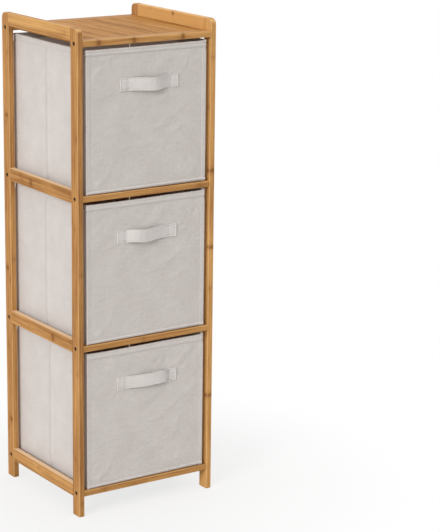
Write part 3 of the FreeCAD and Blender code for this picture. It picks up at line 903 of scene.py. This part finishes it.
def make_cover(k):
    node = f"basket_{k}_fabric"
    low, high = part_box(node)
    tall = high.z - low.z
    creases = {"left": BY_CREASE - CREASE_AT[k], "right": BY_CREASE + CREASE_AT[k]}
    walk = Walk(low[:2], high[:2], COVER_CORNER, pitch=0.0033, extra=creases)
    z = levels(FOOT_ROWS, 0.0105, tall - 0.002, 0.0033, tall)
    off = column_heights(walk, z, tall, k)
    points = wall_points(walk, off, low.z + z[:, None] + foot_lift(walk, z))
    faces = ring_faces(walk, ring_starts(walk, len(z)), z)
    rings = [shrunk(points[: walk.count], (low + high) / 2, share) for share in FLOOR_SHARES]
    for ring, share in zip(rings, FLOOR_SHARES):
        ring[:, 2] = low.z + 0.0001 + 0.0004 * bell(share - 0.95, 0.02)
    points = add_floor(points, faces, rings, down=True)
    made = cloth_object(f"basket_{k}_cover", points, faces, CLOTHS[k], COVER_THICK)
    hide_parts(node)
    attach(made, f"basket_{k}")
    return made


covers = [make_cover(k) for k in (1, 2, 3)]
print("cover", len(covers[0].data.polygons), "faces")

# %% [markdown]
# ## The lining
#
# Inside, a thinner cloth hides the boards. It hangs a little looser than the
# cover, so its waves are longer and it has no hem. It is made by the same
# walk, inside out.

# %% Lining
LINING_THICK = 0.0008


def make_lining(k):
    node = f"basket_{k}_lining"
    low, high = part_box(node)
    tall = high.z - low.z
    walk = Walk(low[:2], high[:2], LINING_CORNER, pitch=0.006)
    z = levels((0.0, 0.001, 0.0025, 0.005), 0.010, tall - 0.003, 0.006, tall)
    zz, loose = z[:, None], np.zeros((len(z), walk.count))
    for number, (_, here, reach, s) in enumerate(walk.panels()):
        calm = ease(reach - np.abs(s), 0.004, 0.03) * ease(zz, 0.002, 0.02)
        calm = calm * ease(tall - zz, 0.012, 0.04)
        wave = 0.0006 + slow_waves(k * 31 + number, s, zz, 0.0005)
        size = (2 * reach, tall)
        folds = wrinkles(k * 77 + number, 12, *size, (0.02, 0.05), (0.005, 0.010), 0.0005)
        wave = wave + ridge_heights(folds, s, zz)
        loose[:, here] = np.clip(wave, 0, 0.0018) * calm
    up = low.z + zz * (1 - LINING_THICK / tall) + LINING_THICK
    points = wall_points(walk, -(LINING_THICK + loose), up)
    faces = ring_faces(walk, ring_starts(walk, len(z)), z, flip=True)
    shares = (0.97, 0.9, 0.75, 0.55, 0.3, 0.05)
    rings = [shrunk(points[: walk.count], (low + high) / 2, share) for share in shares]
    points = add_floor(points, faces, rings, down=False)
    made = cloth_object(f"basket_{k}_inner_lining", points, faces, LININGS[k], LINING_THICK)
    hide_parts(node)
    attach(made, f"basket_{k}")
    return made


linings = [make_lining(k) for k in (1, 2, 3)]
print("lining", len(linings[0].data.polygons), "faces")

# %% [markdown]
# ## The rim tape
#
# A folded tape binds cover, boards and lining together at the rim. Its cut
# end is turned under, so its lower edge is a little thicker, and two rows of
# stitches pull shallow grooves into it. The profile of the fold is drawn once
# and carried round the basket.

# %% Rim tape
STITCH_ROWS = (0.0050, 0.0103)  # down from the rim
RIM_TILT = {1: (0.0002, 0.0016), 2: (0.0005, 0.0016), 3: (0.0011, 0.0017)}
TAPE_THICK, TAPE_GAP, TAPE_PROUD, FOLD_HIGH = 0.0006, 0.0002, 0.0008, 0.0013
TAPE_ROWS = [
    0.0, 0.0003, 0.0007, 0.0012, 0.0017, 0.0022, 0.0034, 0.0050,
    0.0060, 0.0066, 0.0070, 0.0074, 0.0080, 0.0090, 0.0104,
]


def tape_profile(wall, tall, relief):
    """The fold in section: (out from its outer face, up from its lower edge)."""
    outer = []
    for z in TAPE_ROWS:
        from_top = tall - z
        roll = 0.00095 * (1 - ease(from_top, 0.0030, 0.0050))
        slope = 0.00085 * ease(from_top, 0.0050, 0.0088)
        cut = 0.00080 * ease(from_top, 0.0092, 0.0105)
        turned_in = 0.0003 if z == 0 else 0.0
        outer.append((-0.00070 + (roll + slope - cut) * relief - turned_in, z))
    half = wall / 2
    over = [
        (-half + half * math.cos(a), tall - FOLD_HIGH + FOLD_HIGH * math.sin(a))
        for a in (k / 8 * math.pi for k in range(1, 8))
    ]
    inner = [(-wall - x, z) for x, z in reversed(outer)]
    far, near, top, foot = -wall + TAPE_THICK, -TAPE_THICK, tall - 0.0022, 0.0002
    inside = [(far, foot), (far, top), (near, top), (near, foot)]
    return outer + over + inner + inside


def rim_rise(walk, k):
    """The rim isn't level: it leans as in the picture, sags between its stiff
    corners, and its right side stands up behind the front corner."""
    x, y = walk.place.T
    corner = np.hypot(np.minimum(x - x.min(), x.max() - x), np.minimum(y - y.min(), y.max() - y))
    left, right = RIM_TILT[k]
    tilt = left + (right - left) * ease(x, x.min(), x.max())
    wave = 0.0003 * np.sin(walk.cloth * 23 + k) * ease(corner, 0.01, 0.05)
    sag = 0.0008 * bell(corner, 0.014) + wave
    behind_corner = bell(y - y.min() - 0.020, 0.022)
    high = 0.0018 if k == 1 else 0.0040
    return tilt + sag + high * ease(x, x.max() - 0.004, x.max()) * behind_corner


def make_tape(k):
    node = f"basket_{k}_rim_tape"
    low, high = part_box(node)
    lining_low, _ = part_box(f"basket_{k}_lining")
    wall = (lining_low.x - low.x) + LINING_THICK + TAPE_GAP + TAPE_THICK
    tall = high.z - low.z
    walk = Walk(low[:2], high[:2], COVER_CORNER + TAPE_PROUD, pitch=0.006)
    swell = flare(walk, 0.0018)
    profile = tape_profile(wall, tall, RELIEF[k])
    rise = rim_rise(walk, k)
    loop = profile + profile[:1]
    v = np.concatenate([[0], np.cumsum([math.dist(a, b) for a, b in zip(loop, loop[1:])])])
    rings = []
    for x, z in profile:
        out = x + 0.00010 * np.sin(walk.cloth * 900) * (1 if x > -wall / 2 else -1) + swell
        across = np.stack([walk.place[:, i] + walk.out[:, i] * out for i in (0, 1)], axis=1)
        if x < -wall / 2:
            across = np.clip(across, (low.x - x, low.y - x), (high.x + x, high.y + x))
        rings.append(np.column_stack([across, low.z + z + rise * min(1.0, z / tall)]))
    points = np.concatenate(rings)
    faces = ring_faces(walk, ring_starts(walk, len(profile)) + [0], v)
    made = cloth_object(f"basket_{k}_rim_binding", points, faces, TAPE)
    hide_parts(node)
    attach(made, f"basket_{k}")
    return made, walk, high.z


tapes = [make_tape(k) for k in (1, 2, 3)]
print("tape", len(tapes[0][0].data.polygons), "faces")

# %% [markdown]
# ## The handles
#
# A handle is a band of doubled canvas, sewn flat at both ends and left slack
# between, so the middle stands off the front and droops a little. It is made
# as a band of cross-sections along a curve. The edges are folded in, so they
# are thicker than the middle, and each band hangs in its own way.

# %% Handles
STRAP_THICK, STRAP_GAP = 0.0016, 0.0002
PATCH = 0.022  # how much of each end is sewn down
PATCH_ROWS = (0.0038, 0.0185)  # the sewn box's ends, in from the handle's end
HANDLE_ENDS = {1: (-0.0630, 0.0710), 2: (-0.0690, 0.0690), 3: (-0.0685, 0.0710)}
HANGS = {  # share of the free length, how far off the front, how far down, in mm
    1: [
        (0, 0, 0), (0.15, 3.0, 0.1), (0.30, 6.8, 0.7), (0.47, 9.8, 1.7), (0.60, 10.5, 2.0),
        (0.72, 8.5, 1.0), (0.85, 4.8, -0.3), (0.94, 1.8, -1.0), (1, 0, 0),
    ],
    2: [
        (0, 0, -0.4), (0.07, 3.4, -1.0), (0.15, 6.9, -0.9), (0.26, 9.6, 0.1), (0.40, 9.9, 1.6),
        (0.59, 7.4, 0.5), (0.82, 3.2, -0.8), (0.94, 0.8, -0.3), (1, 0, 0),
    ],
    3: [
        (0, 0, 0), (0.20, 2.8, -0.2), (0.40, 6.4, -0.4), (0.60, 8.4, -0.9),
        (0.78, 8.4, -1.5), (0.90, 6.8, -1.5), (0.97, 3.8, -0.8), (1, 0, 0),
    ],
}
END_COLUMNS = (0.0, 0.0005, 0.0011, 0.0020, 0.0028, 0.0034, 0.0038, 0.0042, 0.0048, 0.0056)
HALF_ACROSS = (0, 0.2, 0.4, 0.6, 0.76, 0.80, 0.84, 0.88, 0.94, 0.985, 1)


def hang(k, span, free):
    """How far the handle stands off and drops, at many places along it."""
    fine = np.linspace(-span / 2, span / 2, 553)
    kernel = np.hanning(27)
    kernel /= kernel.sum()
    shares, *curves = np.array(HANGS[k]).T
    drawn = [np.interp((fine / free + 1) / 2, shares, curve) for curve in curves]
    padded = [np.pad(curve, 13, mode="edge") for curve in drawn]
    return fine, *(np.convolve(curve, kernel, "valid") / 1000 for curve in padded)


def make_handle(k):
    node = f"basket_{k}_strap"
    low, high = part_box(node)
    span, wide, thick = HANDLE_ENDS[k][1] - HANDLE_ENDS[k][0], high.z - low.z, STRAP_THICK
    centre, back = (low + high) / 2, high.y
    centre.x += sum(HANDLE_ENDS[k]) / 2
    free = span / 2 - PATCH
    fine, off_of, down_of = hang(k, span, free)
    ends = [span / 2 - d for d in END_COLUMNS]
    even = np.linspace(-span / 2 + 0.0065, span / 2 - 0.0065, 90)
    lengths = np.unique(np.concatenate([even, ends, [-e for e in ends]]))
    across = np.array([-w for w in HALF_ACROSS[:0:-1]] + list(HALF_ACROSS))
    rows = []
    for s in lengths:
        off, down = np.interp(s, fine, off_of), np.interp(s, fine, down_of)
        held = 1 - ease(free - abs(s), -0.001, 0.004)
        tip = span / 2 - abs(s)
        end = ease(tip, -0.0003, 0.0010)
        lines = sum(bell(tip - at, 0.0010) for at in PATCH_ROWS)
        lines += 0.6 * bell(tip - 0.0160, 0.0008)
        turned = 0.0006 * (1 - ease(tip, 0.0042, 0.0056))
        for face in (1, -1):
            for w in across if face > 0 else across[::-1]:
                inside = 1 - ease(abs(w), 0.80, 0.86)
                edge = 0.00035 * bell(abs(w) - 0.92, 0.05)
                edge -= (0.00035 + 0.0003 * held) * bell(abs(w) - 0.80, 0.035)
                quilt = held * inside * 0.00036 * math.sin(w * 11 + s * 500 + k)
                quilt *= math.cos(s * 700 + 2 * w)
                stitched = -0.00075 * lines * (0.3 + 0.7 * inside) * held
                rounded = math.sqrt(max(0.0, 1 - max(0.0, (abs(w) - 0.94) / 0.06) ** 2))
                half = thick / 2 * rounded * (0.5 + 0.5 * end)
                y = back - STRAP_GAP - thick / 2 - off * (1 + 0.05 * w)
                if face > 0:
                    y -= half + edge + quilt + stitched + turned * held * end
                else:
                    y += half * 0.98
                z = centre.z + w * wide / 2 * (1 - 0.02 * held * inside) - down
                rows.append((centre.x + s, min(y, back - 0.00005), z))
    ring = 2 * len(across)
    points = np.array(rows)
    v_of = np.concatenate([across, 2 + across]) * wide / 2
    faces = []
    for i in range(len(lengths) - 1):
        for j in range(ring):
            n = (j + 1) % ring
            quad = (i * ring + j, (i + 1) * ring + j, (i + 1) * ring + n, i * ring + n)
            v0, v1 = v_of[j], v_of[n] if n else v_of[j] + 0.0005
            u0, u1 = lengths[i], lengths[i + 1]
            faces.append((quad, [(u0, v0), (u1, v0), (u1, v1), (u0, v1)]))
    for i, turn_round in ((0, False), (len(lengths) - 1, True)):
        for j in range(len(across) - 1):
            far = ring - 1 - j
            quad = (i * ring + j, i * ring + j + 1, i * ring + far - 1, i * ring + far)
            faces.append((quad[::-1] if turn_round else quad, [(lengths[i], v_of[j])] * 4))
    made = cloth_object(f"basket_{k}_handle", points, faces, HANDLE)
    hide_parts(node)
    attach(made, f"basket_{k}")
    return made


handles = [make_handle(k) for k in (1, 2, 3)]
print("handle", len(handles[0].data.polygons), "faces")

# %% [markdown]
# ## The base inserts
#
# A loose board, covered in the same canvas, keeps the floor of each basket
# flat and lifts out. Its cloth is pulled tight over a crowned face, so it is
# flat in the middle and rolls over at the edge, with a seam halfway down.

# %% Inserts
INSERT_CORNER, INSERT_PITCH = 0.008, 0.007
SECTION_TALL = 0.0040
SECTION = [  # share of the way out from the middle, and how high
    (0.04, 0.0), (0.30, 0.0), (0.70, 0.0), (0.93, 0.0001), (0.975, 0.0003), (0.992, 0.0009),
    (0.999, 0.0016), (0.9955, 0.0020), (0.999, 0.0024), (0.992, 0.0031), (0.975, 0.0037),
    (0.93, 0.0039), (0.82, 0.00395), (0.66, 0.00398), (0.46, 0.0040), (0.24, 0.0040),
    (0.04, 0.0040),
]


def make_insert(k):
    node = f"basket_{k}_base_insert"
    low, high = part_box(node)
    tall = high.z - low.z
    walk = Walk(low[:2], high[:2], INSERT_CORNER, pitch=INSERT_PITCH)
    flat = np.column_stack([walk.place, np.zeros(walk.count)])
    ripple = 0.00006 * np.sin(walk.cloth * 160 + k)
    rings = []
    for share, z in SECTION:
        ring = shrunk(flat, (low + high) / 2, share)
        ring[:, 2] = low.z + z * tall / SECTION_TALL
        if 0.3 < share < 0.94:
            ring[:, 2] = np.clip(ring[:, 2] + ripple, low.z, high.z)
        rings.append(ring)
    points = np.concatenate(rings)
    starts = ring_starts(walk, len(rings))
    faces = ring_faces(walk, starts, starts)
    top = tuple(range(len(points) - walk.count, len(points)))
    bottom = tuple(range(walk.count - 1, -1, -1))
    faces = [(f, level_map(points, f)) for f in (*(quad for quad, _ in faces), top, bottom)]
    made = cloth_object(f"basket_{k}_insert_cover", points, faces, INSERT)
    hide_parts(node)
    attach(made, f"basket_{k}_insert")
    return made


inserts = [make_insert(k) for k in (1, 2, 3)]
print("insert", len(inserts[0].data.polygons), "faces")

# %% [markdown]
# ## Stitches
#
# The thread lies on the cloth in short, slightly slanting bars. At this
# distance a row of them reads as a fine broken line, and close up it is the
# detail that says the basket was sewn. All the stitches of a basket are one
# mesh of small six-sided bars.

# %% Stitches
STITCH_LONG, STITCH_PITCH, THREAD_THICK = 0.0027, 0.0040, 0.00036
BOX_HALF, BOX_PITCH, BOX_THREAD = 0.0106, 0.0034, 0.0005  # at the handle's ends
thread = Finish("sewing_thread", Roughness=0.75, Sheen_Weight=0.2)
twist = thread.noise(thread.place(), 3200.0, 1.0)
thread.feed(
    Base_Color=thread.mix(twist, linear(196, 190, 185), linear(216, 211, 206)),
    Normal=thread.bump(twist, 0.4, 0.0002),
)
BAR_SIDES = 6
BAR = [  # along it, how wide, and how far off the cloth
    (0.0, 0.35, -0.3), (0.18, 0.9, 0.35), (0.5, 1.0, 0.55), (0.82, 0.9, 0.35), (1.0, 0.35, -0.3),
]


def bar(points, faces, a, b, out, thick=THREAD_THICK):
    """One stitch from a to b, lying on the side that out faces."""
    a, b, out = Vector(a), Vector(b), Vector(out).normalized()
    side = (b - a).normalized().cross(out).normalized()
    start = len(points)
    for share, swell, rise in BAR:
        middle = a.lerp(b, share) + out * rise * thick
        for j in range(BAR_SIDES):
            turn = j / BAR_SIDES * math.tau
            spoke = side * math.cos(turn) + out * math.sin(turn)
            points.append(middle + spoke * thick * 0.5 * swell)
    for r in range(len(BAR) - 1):
        for j in range(BAR_SIDES):
            p = start + r * BAR_SIDES + j
            q = start + r * BAR_SIDES + (j + 1) % BAR_SIDES
            faces.append((p, q, q + BAR_SIDES, p + BAR_SIDES))


def sew_rim(points, faces, walk, rim):
    """The two rows of stitches along the tape."""
    turns = np.append(walk.cloth, walk.length)
    round_once = [np.append(values, values[0]) for values in (*walk.place.T, *walk.out.T)]
    sink = -0.00085
    for row in STITCH_ROWS:
        for i in range(int(walk.length / STITCH_PITCH)):
            u, z = i * STITCH_PITCH, rim - row
            x0, y0, ax, ay = (np.interp(u, turns, values) for values in round_once)
            x1, y1 = (np.interp(u + STITCH_LONG, turns, values) for values in round_once[:2])
            a = (x0 + ax * sink, y0 + ay * sink, z)
            b = (x1 + ax * sink, y1 + ay * sink, z + 0.0002)
            bar(points, faces, a, b, (ax, ay, 0))


def sew_handle(points, faces, k):
    """The box of stitches at each end of the handle."""
    strap_low, strap_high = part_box(f"basket_{k}_strap")
    middle = (strap_low + strap_high) / 2
    middle.x += sum(HANDLE_ENDS[k]) / 2
    half_span = (HANDLE_ENDS[k][1] - HANDLE_ENDS[k][0]) / 2
    face = strap_high.y - STRAP_GAP - STRAP_THICK + 0.0004
    outer, inner = (half_span - row for row in PATCH_ROWS)
    half = BOX_HALF
    box = [(outer, -half), (outer, half), (inner, half), (inner, -half), (outer, -half)]
    for sign in (-1, 1):
        for (x0, z0), (x1, z1) in zip(box, box[1:]):
            count = max(1, round(math.dist((x0, z0), (x1, z1)) / BOX_PITCH))
            for i in range(count):
                a, b = (
                    (middle.x + sign * (x0 + (x1 - x0) * p), face, middle.z + z0 + (z1 - z0) * p)
                    for p in (i / count, (i + 0.74) / count)
                )
                bar(points, faces, a, b, (0, -1, 0), BOX_THREAD)


def make_stitches(k):
    points, faces = [], []
    _, walk, rim = tapes[k - 1]
    sew_rim(points, faces, walk, rim)
    sew_handle(points, faces, k)
    made = smooth_object(f"basket_{k}_stitches", points, faces, thread.material)
    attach(made, f"basket_{k}")
    return made


stitches = [make_stitches(k) for k in (1, 2, 3)]
print("stitches", len(stitches[0].data.polygons), "faces")

# %% [markdown]
# ## Boards inside the walls
#
# Grey board stiffens each wall. It is shut in between cover and lining, so it
# only needs the look of pressed pulp: speckled and matt.

# %% Board finish
pulp = Finish("wall_board", Roughness=0.9)
specks = pulp.noise(pulp.place(), 900.0, 4.0, 0.7)
pulp.feed(
    Base_Color=pulp.mix(specks, linear(128, 124, 118), linear(158, 154, 147)),
    Normal=pulp.bump(specks, 0.3, 0.0002),
)
pulp_boards = [n for n in NODES if "_board" in n and n.startswith("basket_")]
for node in pulp_boards:
    dress(node, pulp.material)
print("boards", len(pulp_boards))

# %% [markdown]
# ## Cut shapes, and how much the model grew
#
# The cover and the lining are each cut as a cross, a floor with four walls,
# and the tape and the handle as straight bands. The loop below reads the box
# of each cover's and lining's solid and keeps nothing. Then the boxes of the
# imported model and of this one are compared, and the growth is printed.

for k in (1, 2, 3):
    for piece, node in ((covers[k - 1], "fabric"), (linings[k - 1], "lining")):
        low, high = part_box(f"basket_{k}_{node}")
CLOSE_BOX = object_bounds()
grown = [(b - a) * 1000 for p, q in zip(CAD_BOX, CLOSE_BOX) for a, b in zip(p, q)]
print("grown by", [round(g, 1) for g in grown], "mm")
